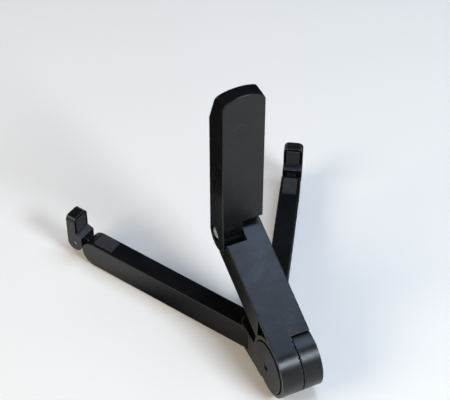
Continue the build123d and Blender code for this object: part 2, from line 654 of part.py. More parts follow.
def sloped_layer(low, high, start):
    """A slab over the whole width, parallel to the sloped front, between two depths below it."""
    end = HEAD_LENGTH + HEAD_THICKNESS
    points = [(start, low), (end, low), (end, high), (start, high)]
    skewed = [(s, HEAD_FRONT + depth / math.cos(math.radians(LEAN_ANGLE)) + (s - SLOPE_START) * SLOPE)
              for s, depth in points]
    with BuildSketch(head_plane(HALF_WIDTH + 1)) as layer:
        Polygon(*skewed, align=None)
    return layer.sketch


def head_pad():
    with BuildPart() as pad:
        with BuildSketch(head_front(HEAD_FRONT)):
            head_outline(HEAD_PAD_MARGIN)
        extrude(amount=HEAD_THICKNESS)
        fillet(pad.edges().filter_by(Axis.Y).group_by(Axis.Z)[-1], CORNER_RADIUS - HEAD_PAD_MARGIN)
        layer = sloped_layer(0, HEAD_PAD_THICKNESS, SLOPE_START + HEAD_PAD_MARGIN)
        extrude(layer, amount=BODY_WIDTH + 2, mode=Mode.INTERSECT)
    save(pad, "head_pad")
    return pad.part


def head_shell(pad):
    with BuildPart() as shell:
        with BuildSketch(head_front(HEAD_FRONT)):
            head_outline()
        extrude(amount=HEAD_THICKNESS)
        fillet(shell.edges().filter_by(Axis.Y).group_by(Axis.Z)[-1], CORNER_RADIUS)
        above = sloped_layer(-HEAD_THICKNESS, HEAD_PAD_PROUD, SLOPE_START - HEAD_THICKNESS)
        extrude(above, amount=BODY_WIDTH + 2, mode=Mode.SUBTRACT)
        with BuildSketch(head_plane(HALF_WIDTH)):
            joined = HEAD_RIGHT_START + 1
            with BuildLine():
                back, front = (TONGUE_BACK_START, HEAD_BACK), (0, HEAD_FRONT)
                Polyline(back, (joined, HEAD_BACK), (joined, HEAD_FRONT), front)
                ThreePointArc(front, (-TONGUE_DROP, TONGUE_LOW_BACK), back)
            make_face()
        extrude(amount=HALF_WIDTH - TONGUE_X)
        back_face = shell.faces().sort_by(Axis.Y)[-1]
        fillet(back_face.edges().filter_by(Axis.X, reverse=True), EDGE_ROUND)
        with BuildSketch(head_front(HEAD_FRONT)):
            with Locations((0, (HEAD_CAVITY_START + HEAD_CAVITY_END) / 2)):
                Rectangle(BODY_WIDTH - 2 * SHELL_WALL, HEAD_CAVITY_END - HEAD_CAVITY_START)
        extrude(amount=HEAD_THICKNESS - SHELL_WALL, mode=Mode.SUBTRACT)
        with BuildSketch(head_front(FRONT_PANEL)):
            with Locations(*[(0, at) for at in HEAD_SCREW_AT]):
                Circle(BOSS_RADIUS)
        extrude(amount=HEAD_BACK - FRONT_PANEL - 1)
        with BuildSketch(head_front(HEAD_FRONT)):
            with Locations((0, (HEAD_CAVITY_START + HEAD_CAVITY_END) / 2)):
                Rectangle(BODY_WIDTH - 2 * HEAD_RIM, HEAD_CAVITY_END - HEAD_CAVITY_START + 2 * COVER_LEDGE)
        extrude(amount=HEAD_COVER_RECESS + COVER_THICKNESS, mode=Mode.SUBTRACT)
        for place in head_screw_planes():
            drilled(place, SCREW_RADIUS, SCREW_LENGTH)
        add(pad, mode=Mode.SUBTRACT)
        drilled(inward(1, ELBOW_Y, ELBOW_Z), ELBOW_RECESS_RADIUS, ELBOW_RECESS_DEPTH)
        drilled(inward(1, ELBOW_Y, ELBOW_Z), TONGUE_BUSH_RADIUS, HALF_WIDTH)
    save(shell, "head_shell")


def head_screw_planes():
    origin = ELBOW_Y + FRONT_PANEL
    return [Plane((0, origin, ELBOW_Z + at), x_dir=(-1, 0, 0), z_dir=(0, 1, 0)) for at in HEAD_SCREW_AT]


def head_cover():
    with BuildPart() as cover:
        with BuildSketch(head_front(FRONT_PANEL)):
            length = HEAD_CAVITY_END - HEAD_CAVITY_START + 2 * COVER_LEDGE - 2 * COVER_FIT
            with Locations((0, (HEAD_CAVITY_START + HEAD_CAVITY_END) / 2)):
                Rectangle(BODY_WIDTH - 2 * HEAD_RIM - 2 * COVER_FIT, length)
        extrude(amount=COVER_THICKNESS)
        for place in head_screw_planes():
            drilled(place, SCREW_RADIUS, COVER_THICKNESS)
            drilled(place, SCREW_HEAD_RADIUS, SCREW_HEAD_HEIGHT)
    save(cover, "head_cover")


def elbow_bush():
    with BuildPart() as bush:
        with BuildSketch(across(HALF_WIDTH - ELBOW_RECESS_DEPTH, ELBOW_Y, ELBOW_Z)):
            Circle(TONGUE_BUSH_RADIUS)
            Circle(ELBOW_BOLT_RADIUS + RUN_FIT, mode=Mode.SUBTRACT)
        extrude(amount=HALF_WIDTH - ELBOW_RECESS_DEPTH - TONGUE_X)
    save(bush, "elbow_bush")


# ---------------------------------------------------------------- legs

LEG_HALF = HALF_WIDTH / 2 - LEG_SIDE_GAP
LEG_END_RADIUS = (LEG_TOP - FOOT_PROUD) / 2
LEG_END_CENTRE = LEG_LENGTH - LEG_END_RADIUS
LEG_MIDDLE_Z = FOOT_PROUD + LEG_END_RADIUS
NOSE_CLEAR = NOSE_RADIUS + NOSE_END_GAP
LEG_CAVITY_END = LEG_LENGTH - LEG_END_WALL
LEG_SCREW_AT = [LEG_CAVITY_START + BOSS_RADIUS + 1, LEG_CAVITY_END - BOSS_RADIUS - 1]
HOOK_START = LEG_LENGTH + FACE_GAP
HOOK_PIN_START = LEG_LENGTH + HOOK_PIN_REACH
REST_PAD_START = LEG_LENGTH - REST_PAD_SETBACK
TIP_FOOT_START = LEG_LENGTH - TIP_FOOT_SETBACK
FORWARD = (math.sin(math.radians(LEG_SPREAD)), -math.cos(math.radians(LEG_SPREAD)), 0)
OUTWARD = (math.cos(math.radians(LEG_SPREAD)), math.sin(math.radians(LEG_SPREAD)), 0)


def leg_plan(z):
    """Left leg from above: X along the leg from its pivot, Y outward."""
    return Plane(origin=(PIVOT_X, PIVOT_Y, z), x_dir=FORWARD, z_dir=(0, 0, 1))


def leg_side(offset):
    """Left leg from its outer side, this far out from its middle: X along the leg, Y up from the table."""
    origin = (PIVOT_X + OUTWARD[0] * offset, PIVOT_Y + OUTWARD[1] * offset, 0)
    return Plane(origin=origin, x_dir=FORWARD, z_dir=(-OUTWARD[0], -OUTWARD[1], 0))


def plan_block(start, end, half, low, high, mode=Mode.ADD):
    """A block on the left leg, between two distances from the pivot and two levels."""
    with BuildSketch(leg_plan(low)) as plan:
        with Locations(((start + end) / 2, 0)):
            Rectangle(end - start, 2 * half)
    extrude(plan.sketch, amount=high - low, mode=mode)


def leg_screw_planes():
    base = leg_plan(FOOT_PROUD)
    return [Plane(base.origin + base.x_dir * at, x_dir=base.x_dir, z_dir=base.z_dir) for at in LEG_SCREW_AT]


def leg_shell():
    leg_axis = Axis((0, 0, 0), FORWARD)
    with BuildPart() as shell:
        with BuildSketch(leg_side(LEG_HALF)):
            with Locations((LEG_END_CENTRE / 2, LEG_MIDDLE_Z)):
                Rectangle(LEG_END_CENTRE, 2 * LEG_END_RADIUS)
            with Locations((LEG_END_CENTRE, LEG_MIDDLE_Z)):
                Circle(LEG_END_RADIUS)
        extrude(amount=2 * LEG_HALF)
        fillet(shell.edges().filter_by(leg_axis), LEG_EDGE_ROUND)
        drilled(leg_plan(FOOT_PROUD - 1), NOSE_CLEAR, 2 * LEG_END_RADIUS + 2)
        with BuildSketch(leg_plan(EYE_BOTTOM + SLIDE_GAP)):
            Circle(NOSE_RADIUS)
            with Locations((NOSE_CLEAR / 2, 0)):
                Rectangle(NOSE_CLEAR, 2 * NOSE_RADIUS)
        extrude(amount=EYE_TOP - EYE_BOTTOM - 2 * SLIDE_GAP)
        drilled(leg_plan(0), LEG_PIN_RADIUS + RUN_FIT, LEG_TOP)
        half, ceiling = LEG_HALF - LEG_WALL, LEG_TOP - LEG_WALL
        plan_block(LEG_CAVITY_START, LEG_CAVITY_END, half, FOOT_PROUD, ceiling, Mode.SUBTRACT)
        for place in leg_screw_planes():
            drilled(place, BOSS_RADIUS, LEG_TOP - LEG_WALL, Mode.ADD)
        start, end = LEG_CAVITY_START - COVER_LEDGE, LEG_CAVITY_END + COVER_LEDGE
        level = FOOT_PROUD + LEG_COVER_THICKNESS
        plan_block(start, end, LEG_HALF - LEG_COVER_RIM, FOOT_PROUD, level, Mode.SUBTRACT)
        for place in leg_screw_planes():
            drilled(place, SCREW_RADIUS, SCREW_LENGTH)
        rest_end = REST_PAD_START + REST_PAD_LENGTH
        seat = LEG_TOP - REST_PAD_RECESS
        plan_block(REST_PAD_START, rest_end, REST_PAD_WIDTH / 2, seat, LEG_TOP, Mode.SUBTRACT)
        foot_end = TIP_FOOT_START + TIP_FOOT_LENGTH
        plan_block(TIP_FOOT_START, foot_end, TIP_FOOT_WIDTH / 2, 0, FOOT_PROUD + FOOT_RECESS, Mode.SUBTRACT)
        with BuildSketch(leg_side(LEG_TONGUE_WIDTH / 2)):
            root = LEG_LENGTH - LEG_TONGUE_RADIUS
            with Locations(((root + HOOK_PIN_START) / 2, HOOK_PIN_Z)):
                Rectangle(HOOK_PIN_START - root, 2 * LEG_TONGUE_RADIUS)
            with Locations((HOOK_PIN_START, HOOK_PIN_Z)):
                Circle(LEG_TONGUE_RADIUS)
        extrude(amount=LEG_TONGUE_WIDTH)
        with BuildSketch(leg_side(LEG_HALF)):
            with Locations((HOOK_PIN_START, HOOK_PIN_Z)):
                Circle(HOOK_PIN_RADIUS + RUN_FIT)
        extrude(amount=2 * LEG_HALF, mode=Mode.SUBTRACT)
    return shell


def leg_cover():
    with BuildPart() as cover:
        start = LEG_CAVITY_START - COVER_LEDGE + COVER_FIT
        end = LEG_CAVITY_END + COVER_LEDGE - COVER_FIT
        half = LEG_HALF - LEG_COVER_RIM - COVER_FIT
        plan_block(start, end, half, FOOT_PROUD, FOOT_PROUD + LEG_COVER_THICKNESS)
        for place in leg_screw_planes():
            drilled(place, SCREW_RADIUS, LEG_COVER_THICKNESS)
            drilled(place, SCREW_HEAD_RADIUS, SCREW_HEAD_HEIGHT)
    return cover


def rest_pad():
    with BuildPart() as pad:
        end = REST_PAD_START + REST_PAD_LENGTH
        top = LEG_TOP + REST_PAD_PROUD
        plan_block(REST_PAD_START, end, REST_PAD_WIDTH / 2, LEG_TOP - REST_PAD_RECESS, top)
        fillet(pad.edges().group_by(Axis.Z)[-1], EDGE_ROUND)
    return pad


def tip_foot():
    with BuildPart() as foot:
        end = TIP_FOOT_START + TIP_FOOT_LENGTH
        plan_block(TIP_FOOT_START, end, TIP_FOOT_WIDTH / 2, 0, FOOT_PROUD + FOOT_RECESS)
    return foot


def hook():
    """Upright in use: a fork on the leg's tongue, with a lip in front of the tablet's lower edge."""
    front = HOOK_PIN_START + HOOK_RADIUS
    top = HOOK_PIN_Z + HOOK_HEIGHT
    face = HOOK_START + HOOK_LIP_SETBACK
    with BuildPart() as body:
        with BuildSketch(leg_side(LEG_HALF)):
            lip = [(front, HOOK_PIN_Z), (front, top), (face, top), (face, LEG_TOP + HOOK_STEP_RISE)]
            Polygon((HOOK_START, HOOK_PIN_Z), *lip, (HOOK_START, LEG_TOP - FACE_GAP), align=None)
            with Locations((HOOK_PIN_START, HOOK_PIN_Z)):
                Circle(HOOK_RADIUS)
        extrude(amount=2 * LEG_HALF)
        leg_axis = Axis((0, 0, 0), FORWARD)
        top_corners = body.faces().sort_by(Axis.Z)[-1].edges().filter_by(leg_axis)
        fillet(top_corners, HOOK_CORNER_RADIUS)
        with BuildSketch(leg_side(LEG_TONGUE_WIDTH / 2 + FACE_GAP)):
            high = HOOK_PIN_Z + LEG_TONGUE_RADIUS + FACE_GAP
            low = HOOK_PIN_Z - HOOK_RADIUS - 1
            slot = [(HOOK_START - 1, low), (front + 1, low), (front + 1, high), (HOOK_START - 1, high)]
            Polygon(*slot, align=None)
        extrude(amount=LEG_TONGUE_WIDTH + 2 * FACE_GAP, mode=Mode.SUBTRACT)
        with BuildSketch(leg_side(LEG_HALF)):
            with Locations((HOOK_PIN_START, HOOK_PIN_Z)):
                Circle(HOOK_PIN_RADIUS)
        extrude(amount=2 * LEG_HALF, mode=Mode.SUBTRACT)
        add(hook_face().part, mode=Mode.SUBTRACT)
    return body


def hook_face():
    """Rubber let into the side of the hook's lip that the tablet touches."""
    start = HOOK_START + HOOK_LIP_SETBACK - HOOK_FACE_PROUD
    low = LEG_TOP + HOOK_FACE_MARGIN
    high = HOOK_PIN_Z + HOOK_HEIGHT - HOOK_FACE_MARGIN
    with BuildPart() as face:
        plan_block(start, start + HOOK_FACE_THICKNESS, LEG_HALF - HOOK_FACE_MARGIN, low, high)
    return face


def hook_pin():
    with BuildPart() as pin:
        with BuildSketch(leg_side(LEG_HALF - EDGE_ROUND)):
            with Locations((HOOK_PIN_START, HOOK_PIN_Z)):
                Circle(HOOK_PIN_RADIUS)
        extrude(amount=2 * (LEG_HALF - EDGE_ROUND))
    return pin


def leg_screws():
    with BuildPart() as group:
        for place in leg_screw_planes():
            drilled(place, SCREW_HEAD_RADIUS, SCREW_HEAD_HEIGHT, Mode.ADD)
            drilled(place, SCREW_RADIUS, SCREW_LENGTH, Mode.ADD)
            cross_recess(place)
    return group


def legs():
    """The left leg's pieces, then the same pieces mirrored and swung out for the right leg."""
    pivot = Axis((-PIVOT_X, PIVOT_Y, 0), (0, 0, 1))
    pieces = {
        "leg_shell": leg_shell(),
        "leg_cover": leg_cover(),
        "leg_cover_screws": leg_screws(),
        "leg_rest_pad": rest_pad(),
        "leg_foot": tip_foot(),
        "hook": hook(),
        "hook_face": hook_face(),
        "hook_pin": hook_pin(),
    }
    for name, left in pieces.items():
        save(left, "left_" + name)
        with BuildPart() as right:
            mirrored = mirror(left.part, about=Plane.YZ, mode=Mode.PRIVATE)
            add(mirrored.rotate(pivot, LEG_SPREAD - RIGHT_LEG_SPREAD))
        save(right, "right_" + name)


hub_caps()
base_frame()
base_plate()
screws(plate_screw_planes(), "base_screws")
base_foot()
leg_pins()
hub_fasteners()
arm_shell()
arm_cover()
screws(arm_screw_planes(), "arm_cover_screws")
hub_bush()
elbow_fasteners()
head_shell(head_pad())
head_cover()
screws(head_screw_planes(), "head_cover_screws")
elbow_bush()
legs()
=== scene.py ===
"""Folding tablet stand: its finishes, its rubber parts and a plain studio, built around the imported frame.

Metres, +Z up. +Y is towards the hub and -Y is the side where the tablet stands.
"""

import logging
import math
from dataclasses import dataclass, field
from enum import Enum

import bmesh
import bpy
from mathutils import Matrix, Vector


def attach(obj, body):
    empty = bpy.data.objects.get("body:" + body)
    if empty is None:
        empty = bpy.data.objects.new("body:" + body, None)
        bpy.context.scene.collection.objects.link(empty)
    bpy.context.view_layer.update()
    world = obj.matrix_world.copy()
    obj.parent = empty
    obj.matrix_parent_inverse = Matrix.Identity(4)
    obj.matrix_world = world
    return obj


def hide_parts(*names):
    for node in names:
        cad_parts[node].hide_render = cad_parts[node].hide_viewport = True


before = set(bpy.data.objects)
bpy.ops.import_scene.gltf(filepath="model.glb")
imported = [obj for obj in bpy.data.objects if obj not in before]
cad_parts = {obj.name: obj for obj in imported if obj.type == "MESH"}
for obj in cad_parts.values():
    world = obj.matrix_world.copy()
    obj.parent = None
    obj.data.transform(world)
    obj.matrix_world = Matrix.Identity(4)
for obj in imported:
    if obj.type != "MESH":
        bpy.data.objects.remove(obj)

LOG = logging.getLogger("tablet_stand")
MM = 0.001


class Side(Enum):
    """Which of the two mirrored legs, by the stand's own left and right."""

    LEFT = "left"
    RIGHT = "right"


class Lay(Enum):
    """Which way the scratches of a moulded face run, as the turn of their pattern in radians."""

    ALONG = (0.0, 0.0, 0.35)
    ACROSS = (0.0, 0.0, 1.75)
    LOOSE = (0.4, 0.3, 0.9)


# ---------------------------------------------------------------- shader bench


class Bench:
    """A material on the bench: its node tree, its shader and the piece's own coordinates."""

    def __init__(self, name: str) -> None:
        """Start a material with one Principled shader.

        Args:
            name: the material's name.
        """
        self.material = bpy.data.materials.new(name)
        self.material.use_nodes = True
        self.tree = self.material.node_tree
        self.shader = next(n for n in self.tree.nodes if n.type == "BSDF_PRINCIPLED")
        self.place = self.tree.nodes.new("ShaderNodeTexCoord").outputs["Object"]

    def node(self, kind: str, **inputs: object) -> bpy.types.Node:
        """Add a node and set or link its inputs.

        Args:
            kind: the node's type name.
            inputs: values or output sockets, by input name with _ for a space.

        Returns:
            The new node.
        """
        made = self.tree.nodes.new(kind)
        for name, value in inputs.items():
            self.feed(made.inputs[name.replace("_", " ")], value)
        return made

    def feed(self, socket: bpy.types.NodeSocket, value: object) -> None:
        """Link an output socket to this input, or set the input's own value.

        Args:
            socket: the input.
            value: an output socket, a number or a tuple.
        """
        if isinstance(value, bpy.types.NodeSocket):
            self.tree.links.new(value, socket)
        else:
            socket.default_value = value

    def placed(self, turn: tuple[float, float, float],
               stretch: tuple[float, float, float]) -> bpy.types.NodeSocket:
        """The piece's coordinates, turned and stretched.

        Args:
            turn: rotation in radians.
            stretch: scale on each axis.

        Returns:
            The vector output.
        """
        return self.node("ShaderNodeMapping", Vector=self.place, Rotation=turn, Scale=stretch).outputs["Vector"]

    def noise(self, scale: float, detail: float = 3.0, rough: float = 0.55, swirl: float = 0.0,
              vector: bpy.types.NodeSocket | None = None) -> bpy.types.NodeSocket:
        """Fractal noise between 0 and 1.

        Args:
            scale: features per metre.
            detail: octaves.
            rough: weight of the finer octaves.
            swirl: distortion.
            vector: coordinates, or None for the piece's own.

        Returns:
            The factor output.
        """
        made = self.node("ShaderNodeTexNoise", Vector=vector or self.place, Scale=scale, Detail=detail,
                         Roughness=rough, Distortion=swirl)
        return made.outputs["Fac"]

    def cells(self, scale: float, vector: bpy.types.NodeSocket | None = None) -> bpy.types.NodeSocket:
        """Distance to the nearest of scattered points.

        Args:
            scale: points per metre.
            vector: coordinates, or None for the piece's own.

        Returns:
            The distance output.
        """
        return self.node("ShaderNodeTexVoronoi", Vector=vector or self.place, Scale=scale).outputs["Distance"]

    def ramp(self, value: bpy.types.NodeSocket, low: float, high: float, to_low: float = 0.0,
             to_high: float = 1.0) -> bpy.types.NodeSocket:
        """Map a value from one range to another, clamped and smooth at its ends.

        Args:
            value: what to map.
            low: the value that gives to_low.
            high: the value that gives to_high.
            to_low: result at low.
            to_high: result at high.

        Returns:
            The mapped value.
        """
        made = self.node("ShaderNodeMapRange")
        made.interpolation_type = "SMOOTHSTEP"
        for socket, number in zip(made.inputs, (value, low, high, to_low, to_high)):
            self.feed(socket, number)
        return made.outputs["Result"]

    def sum(self, kind: str, first: object, second: object) -> bpy.types.NodeSocket:
        """One step of arithmetic.

        Args:
            kind: the operation, such as ADD or MULTIPLY.
            first: a value or socket.
            second: a value or socket.

        Returns:
            The result.
        """
        made = self.node("ShaderNodeMath")
        made.operation = kind
        self.feed(made.inputs[0], first)
        self.feed(made.inputs[1], second)
        return made.outputs["Value"]

    def tinted(self, share: object, under: object, over: object) -> bpy.types.NodeSocket:
        """Lay one colour over another.

        Args:
            share: how much of the upper colour shows.
            under: lower colour or socket.
            over: upper colour or socket.

        Returns:
            The mixed colour.
        """
        made = self.node("ShaderNodeMix")
        made.data_type = "RGBA"
        self.feed(made.inputs[0], share)
        self.feed(made.inputs[6], under)
        self.feed(made.inputs[7], over)
        return made.outputs[2]

    def scratches(self, lay: Lay, stretch: float = 900.0, width: float = 0.006) -> bpy.types.NodeSocket:
        """Fine broken hairlines that mostly run one way.

        Args:
            lay: which way they run.
            stretch: lines per metre across their run.
            width: how wide each line is.

        Returns:
            A mask, 1 on a scratch.
        """
        lines = self.noise(1.0, 2.0, 0.5, 0.15, self.placed(lay.value, (stretch * 0.03, stretch, stretch * 0.5)))
        off_line = self.sum("ABSOLUTE", self.sum("SUBTRACT", lines, 0.5), 0.0)
        thin = self.ramp(off_line, 0.0, width, 1.0, 0.0)
        broken = self.ramp(self.noise(95.0, 2.0), 0.56, 0.66)
        return self.sum("MULTIPLY", thin, broken)

    def edge_wear_and_highlight_mask(self, radius: float) -> bpy.types.NodeSocket:
        """Where a surface bends sharply within a radius, broken up a little.

        Args:
            radius: in metres.

        Returns:
            A mask, 1 on an edge.
        """
        soft = self.node("ShaderNodeBevel", Radius=radius)
        soft.samples = 6
        true = self.node("ShaderNodeNewGeometry").outputs["Normal"]
        dot = self.node("ShaderNodeVectorMath")
        dot.operation = "DOT_PRODUCT"
        self.feed(dot.inputs[0], soft.outputs["Normal"])
        self.feed(dot.inputs[1], true)
        bend = self.ramp(dot.outputs["Value"], 0.80, 0.985, 1.0, 0.0)
        return self.sum("MULTIPLY", bend, self.ramp(self.noise(420.0, 3.0), 0.3, 0.62, 0.35, 1.0))

    def bump(self, height: object, depth: float, strength: float = 1.0,
             under: bpy.types.NodeSocket | None = None) -> bpy.types.NodeSocket:
        """Relief on the surface.

        Args:
            height: a value between 0 and 1.
            depth: in metres.
            strength: from 0 to 1.
            under: the normal that it lies on, if any.

        Returns:
            The normal.
        """
        made = self.node("ShaderNodeBump", Height=height, Distance=depth, Strength=strength)
        if under is not None:
            self.feed(made.inputs["Normal"], under)
        return made.outputs["Normal"]

    def softened(self, radius: float) -> bpy.types.NodeSocket:
        """The surface's normal, rounded over its sharp edges.

        Args:
            radius: in metres.

        Returns:
            The normal.
        """
        made = self.node("ShaderNodeBevel", Radius=radius)
        made.samples = 6
        return made.outputs["Normal"]

    def finish(self, colour: object, roughness: object, normal: object = None,
               **constants: object) -> bpy.types.Material:
        """Connect the shader and set its constant sockets.

        Args:
            colour: base colour or socket.
            roughness: value or socket.
            normal: normal socket, if any.
            constants: other sockets' own values, by name with _ for a space.

        Returns:
            The material.
        """
        self.feed(self.shader.inputs["Base Color"], colour)
        self.feed(self.shader.inputs["Roughness"], roughness)
        if normal is not None:
            self.feed(self.shader.inputs["Normal"], normal)
        for name, value in constants.items():
            self.shader.inputs[name.replace("_", " ")].default_value = value
        return self.material


# ---------------------------------------------------------------- finishes


@dataclass(frozen=True)
class MouldedPlastic:
    """Black ABS from a lightly spark-eroded mould, with handling marks, painted highlights on its edges and
    painted shade on the walls of the hub's teeth.
    """

    name: str
    colour: tuple[float, float, float] = (0.0028, 0.0029, 0.0032)
    # colour of scratches and rubbed edges; on the edges it is also a painted highlight
    worn_and_highlight: tuple[float, float, float] = (0.19, 0.195, 0.20)
    roughness: float = 0.31
    grain: float = 2600.0
    grain_depth: float = 0.022 * MM
    scratch_depth: float = 0.01 * MM
    ripple_depth: float = 0.04 * MM
    sink_depth: float = 0.22 * MM
    flow_marks: float = 0.35
    flow_lift: float = 1.9
    scratch_light: float = 0.25
    lay: Lay = Lay.LOOSE
    # how far edges are lightened: partly rubbed wear, partly a painted highlight
    edge_rub_and_highlight: float = 0.75
    dust: float = 0.35
    specular: float = 0.36
    edge_width: float = 0.6 * MM
    corner: float = 0.5 * MM
    dust_colour: tuple[float, float, float] = (0.19, 0.19, 0.18)
    # colour of the painted shade on the walls of the hub's teeth
    tooth_shade_colour: tuple[float, float, float] = (0.0008, 0.0008, 0.0008)
    seam_x: float = -0.65 * MM
    seam_half: float = 0.95 * MM
    # strength of the painted shade in the hub's teeth
    tooth_shade_strength: float = 0.0

    def make(self) -> bpy.types.Material:
        """Build the material.

        Returns:
            The material.
        """
        bench = Bench(self.name)
        mottle = bench.noise(46.0, 4.0, 0.6, 0.8)
        cloud = bench.noise(150.0, 4.0, 0.62, 0.4)
        scratch = bench.scratches(self.lay)
        tooth_shade_mask = self.paint_tooth_shade(bench)
        colour = self.handled_colour(bench, cloud, scratch, tooth_shade_mask)
        polish = self.polish(bench, mottle, scratch, tooth_shade_mask)
        relief = self.relief(bench, mottle, cloud, scratch)
        return bench.finish(colour, polish, relief, IOR=1.5, Specular_IOR_Level=self.specular)

    def handled_colour(self, bench: Bench, cloud: bpy.types.NodeSocket, scratch: bpy.types.NodeSocket,
                       tooth_shade_mask: bpy.types.NodeSocket) -> bpy.types.NodeSocket:
        """The black, with flow marks, scratches, dust, edges lightened partly as wear and partly as a painted
        highlight, and painted shade in the hub's teeth.

        Args:
            bench: the material being made.
            cloud: soft patches.
            scratch: mask of the scratches.
            tooth_shade_mask: mask of the painted shade in the teeth.

        Returns:
            The colour.
        """
        flow = bench.ramp(cloud, 0.3, 0.75, 0.0, self.flow_marks)
        paler = tuple(channel * self.flow_lift for channel in self.colour)
        colour = bench.tinted(flow, (*self.colour, 1.0), (*paler, 1.0))
        colour = bench.tinted(bench.sum("MULTIPLY", scratch, self.scratch_light), colour, (*self.worn_and_highlight, 1.0))
        # Edges lightened towards the worn colour: partly rubbed wear, partly a painted highlight along the
        # rounded edges.
        edge = bench.sum("MULTIPLY", bench.edge_wear_and_highlight_mask(self.edge_width), self.edge_rub_and_highlight)
        colour = bench.tinted(edge, colour, (*self.worn_and_highlight, 1.0))
        speck = bench.ramp(bench.cells(520.0), 0.035, 0.075, 1.0, 0.0)
        dusty = bench.ramp(bench.noise(60.0, 2.0), 0.54, 0.64, 0.0, self.dust)
        colour = bench.tinted(bench.sum("MULTIPLY", speck, dusty), colour, (*self.dust_colour, 1.0))
        # Painted shade: the walls of the hub's teeth darkened towards near black.
        return bench.tinted(tooth_shade_mask, colour, (*self.tooth_shade_colour, 1.0))

    def polish(self, bench: Bench, mottle: bpy.types.NodeSocket, scratch: bpy.types.NodeSocket,
               tooth_shade_mask: bpy.types.NodeSocket) -> bpy.types.NodeSocket:
        """Roughness: patchy, smoother where hands rub it, duller on scratches and on the tooth walls that carry
        the painted shade.

        Args:
            bench: the material being made.
            mottle: broad patches.
            scratch: mask of the scratches.
            tooth_shade_mask: mask of the painted shade in the teeth.

        Returns:
            The roughness.
        """
        patchy = bench.ramp(mottle, 0.3, 0.7, self.roughness - 0.06, self.roughness + 0.07)
        rubbed = bench.ramp(bench.noise(23.0, 3.0, 0.5, 1.2), 0.55, 0.78)
        handled = bench.sum("ADD", patchy, bench.ramp(rubbed, 0.0, 1.0, 0.0, -0.035))
        scratched = bench.sum("ADD", handled, bench.sum("MULTIPLY", scratch, 0.12))
        return bench.sum("MAXIMUM", scratched, tooth_shade_mask)

    def relief(self, bench: Bench, mottle: bpy.types.NodeSocket, cloud: bpy.types.NodeSocket,
               scratch: bpy.types.NodeSocket) -> bpy.types.NodeSocket:
        """The mould's fine pits over rounded corners, then scratches and two scales of sink.

        Args:
            bench: the material being made.
            mottle: broad patches.
            cloud: soft patches.
            scratch: mask of the scratches.

        Returns:
            The normal.
        """
        pits = bench.sum("MULTIPLY", bench.cells(self.grain), 0.6)
        pits = bench.sum("ADD", bench.noise(self.grain, 3.0, 0.6), pits)
        normal = bench.bump(pits, self.grain_depth, 0.7, bench.softened(self.corner))
        normal = bench.bump(bench.sum("SUBTRACT", 1.0, scratch), self.scratch_depth, 0.6, normal)
        normal = bench.bump(cloud, self.ripple_depth, 0.5, normal)
        return bench.bump(mottle, self.sink_depth, 0.6, normal)

    def paint_tooth_shade(self, bench: Bench) -> bpy.types.NodeSocket:
        """Painted shade on the walls of the hub's teeth, which face the seam.

        Args:
            bench: the material being made.

        Returns:
            A mask, 1 in the teeth.
        """
        place = bench.node("ShaderNodeSeparateXYZ", Vector=bench.place).outputs["X"]
        off_seam = bench.sum("ABSOLUTE", bench.sum("SUBTRACT", place, self.seam_x), 0.0)
        near = bench.ramp(off_seam, self.seam_half, self.seam_half + 0.1 * MM, 1.0, 0.0)
        true = bench.node("ShaderNodeNewGeometry").outputs["True Normal"]
        facing = bench.sum("ABSOLUTE", bench.node("ShaderNodeSeparateXYZ", Vector=true).outputs["X"], 0.0)
        wall = bench.sum("MULTIPLY", near, bench.ramp(facing, 0.35, 0.6))
        return bench.sum("MULTIPLY", wall, self.tooth_shade_strength)


@dataclass(frozen=True)
class SolidRubber:
    """Matt black rubber with a fine pebble and pale dust in it."""

    name: str
    colour: tuple[float, float, float] = (0.012, 0.012, 0.0125)
    bloomed: tuple[float, float, float] = (0.026, 0.026, 0.027)
    lint_colour: tuple[float, float, float] = (0.16, 0.155, 0.15)
    roughness: float = 0.72
    corner: float = 0.2 * MM

    def make(self) -> bpy.types.Material:
        """Build the material.

        Returns:
            The material.
        """
        bench = Bench(self.name)
        pebble = bench.cells(1500.0)
        bloom = bench.ramp(bench.noise(120.0, 4.0, 0.6, 0.5), 0.42, 0.72, 0.0, 0.5)
        lint = bench.ramp(bench.cells(700.0), 0.03, 0.06, 1.0, 0.0)
        colour = bench.tinted(bloom, (*self.colour, 1.0), (*self.bloomed, 1.0))
        colour = bench.tinted(bench.sum("MULTIPLY", lint, 0.4), colour, (*self.lint_colour, 1.0))
        rough = bench.ramp(bench.noise(260.0, 3.0), 0.3, 0.7, self.roughness - 0.06, self.roughness + 0.08)
        normal = bench.bump(pebble, 0.05 * MM, 0.6, bench.softened(self.corner))
        normal = bench.bump(bench.noise(4200.0, 2.0), 0.01 * MM, 0.5, normal)
        return bench.finish(colour, rough, normal, IOR=1.48, Sheen_Weight=0.12, Sheen_Roughness=0.5)


@dataclass(frozen=True)
class PlatedMetal:
    """A plated or plain turned metal, with turning lines round X and small dull spots."""

    name: str
    colour: tuple[float, float, float] = (0.62, 0.63, 0.64)
    dull: tuple[float, float, float] = (0.34, 0.33, 0.31)
    roughness: float = 0.24
    corner: float = 0.15 * MM

    def make(self) -> bpy.types.Material:
        """Build the material.

        Returns:
            The material.
        """
        bench = Bench(self.name)
        stain = bench.ramp(bench.noise(380.0, 4.0, 0.6, 0.6), 0.5, 0.74)
        turned = bench.noise(1.0, 2.0, 0.5, 0.0, bench.placed((0, 0, 0), (9000.0, 260.0, 260.0)))
        fine = bench.noise(5200.0, 3.0)
        colour = bench.tinted(stain, (*self.colour, 1.0), (*self.dull, 1.0))
        rough = bench.sum("ADD", bench.ramp(turned, 0.3, 0.7, self.roughness - 0.05, self.roughness + 0.08),
                          bench.sum("MULTIPLY", stain, 0.16))
        normal = bench.bump(turned, 0.006 * MM, 0.6, bench.softened(self.corner))
        normal = bench.bump(fine, 0.004 * MM, 0.5, normal)
        return bench.finish(colour, rough, normal, Metallic=1.0, IOR=2.4)


